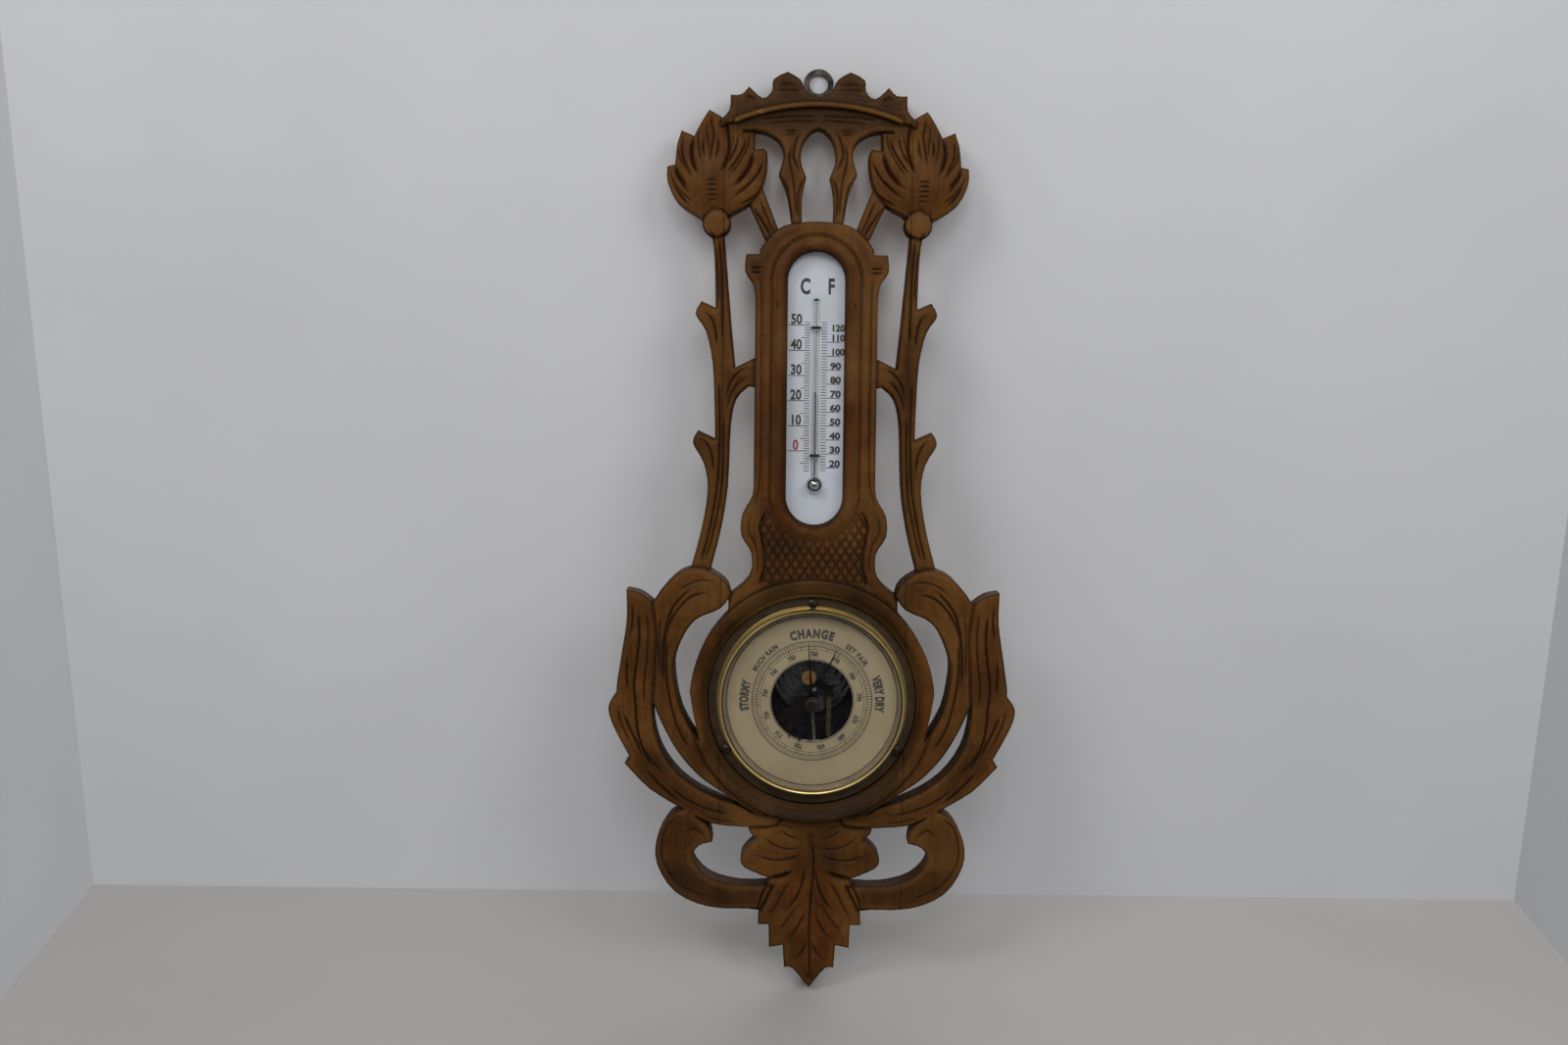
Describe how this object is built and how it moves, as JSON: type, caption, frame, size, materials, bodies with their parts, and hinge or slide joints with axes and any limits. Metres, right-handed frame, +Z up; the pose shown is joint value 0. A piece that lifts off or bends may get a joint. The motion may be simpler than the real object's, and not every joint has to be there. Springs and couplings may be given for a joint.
{
  "type": "wall barometer",
  "caption": "Carved wooden wall barometer: an aneroid dial with an open centre below a thermometer in a beaded slot, hung from an eye.",
  "frame": {"origin": "centre of the hanger's eye, on the wall that the back lies against", "axes": "+Z up, -Y out of the wall towards the viewer, +X to the viewer's right"},
  "size_m": [0.222, 0.0321, 0.5011],
  "materials": {
    "oak": "carved, waxed, worn",
    "backing_wood": "plain thin board",
    "card": "grey pressed card",
    "iron": "dull, oxidised",
    "milk_glass": "opal white with printed scales",
    "glass": "clear",
    "mercury": "bright liquid metal",
    "tie_wire": "black bound wire",
    "dull_metal": "dull, greyed",
    "bezel_brass": "polished, lacquered",
    "dark_screw": "burnished",
    "cream_enamel": "cream, printed in black",
    "movement_brass": "aged",
    "black_lacquer": "semi-gloss black",
    "capsule_metal": "thin corrugated sheet",
    "steel": "polished",
    "blued_steel": "blued",
    "hand_brass": "thin polished hand",
    "bronze": "dark bronzed knob"
  },
  "bodies": {
    "case": {"centre_board": "oak", "left_wing": "oak", "right_wing": "oak", "hanger_plate": "iron", "hanger_screws": "iron", "thermometer_plate": "milk_glass", "thermometer_packing": "card", "thermometer_backing": "backing_wood", "backing_screws": "iron", "thermometer_tube": "glass", "thermometer_liquid": "mercury", "tube_ties": "tie_wire", "case_cup": "dull_metal", "bezel": "bezel_brass", "rim_screws": "dark_screw", "glass": "glass", "spacer_ring": "cream_enamel", "dial": "cream_enamel", "dial_pillars": "movement_brass", "base_plate": "black_lacquer", "capsule": "capsule_metal", "main_spring": "steel", "spring_bridge": "movement_brass", "bridge_screws": "steel", "spring_collar": "movement_brass", "shaft_brackets": "movement_brass", "chain": "steel", "spindle_bridge": "movement_brass", "upper_cock": "movement_brass", "hairspring": "blued_steel"},
    "indicating_hand": {"pointer": "blued_steel", "pointer_spindle": "steel"},
    "rocker": {"rocking_shaft": "steel"},
    "lever": {"lever_arm": "movement_brass", "lever_link": "steel"},
    "capsule_top": {"capsule_pillar": "steel", "knife_edge": "steel"},
    "setting_hand": {"set_hand": "hand_brass", "set_spindle": "bronze"},
    "adjuster": {"adjusting_screw": "movement_brass"}
  },
  "joints": [
    {"name": "pointer_turn", "type": "hinge", "parent": "case", "child": "indicating_hand", "pos_m": [0, -0.0136, -0.333], "axis": [0, 1, 0], "range_deg": [-271, 61], "stiffness_Nm_per_rad": 0.0002, "deforming": ["hairspring", "chain"]},
    {"name": "rocker_turn", "type": "hinge", "parent": "case", "child": "rocker", "pos_m": [0, -0.00555, -0.357], "axis": [1, 0, 0], "range_deg": [-8.5, 36.5]},
    {"name": "lever_lift", "type": "hinge", "parent": "case", "child": "lever", "pos_m": [-0.0016, -0.0119, -0.3207], "axis": [1, 0, 0], "range_deg": [-5.6, 1.4]},
    {"name": "capsule_breath", "type": "slide", "parent": "case", "child": "capsule_top", "axis": [0, -1, 0], "range_m": [-0.00008, 0.0003], "deforming": ["capsule", "main_spring"]},
    {"name": "set_hand_turn", "type": "hinge", "parent": "case", "child": "setting_hand", "pos_m": [0, -0.02, -0.333], "axis": [0, 1, 0], "continuous": true},
    {"name": "adjuster_turn", "type": "hinge", "parent": "case", "child": "adjuster", "pos_m": [-0.02944, -0.003, -0.30818], "axis": [0, 1, 0], "range_deg": [-360, 360]}
  ],
  "couplings": [
    {"joint": "rocker_turn", "follows": "pointer_turn", "ratio": -0.13333},
    {"joint": "lever_lift", "follows": "pointer_turn", "ratio": 0.0203},
    {"joint": "capsule_breath", "follows": "pointer_turn", "m_per_rad": -0.00006}
  ]
}
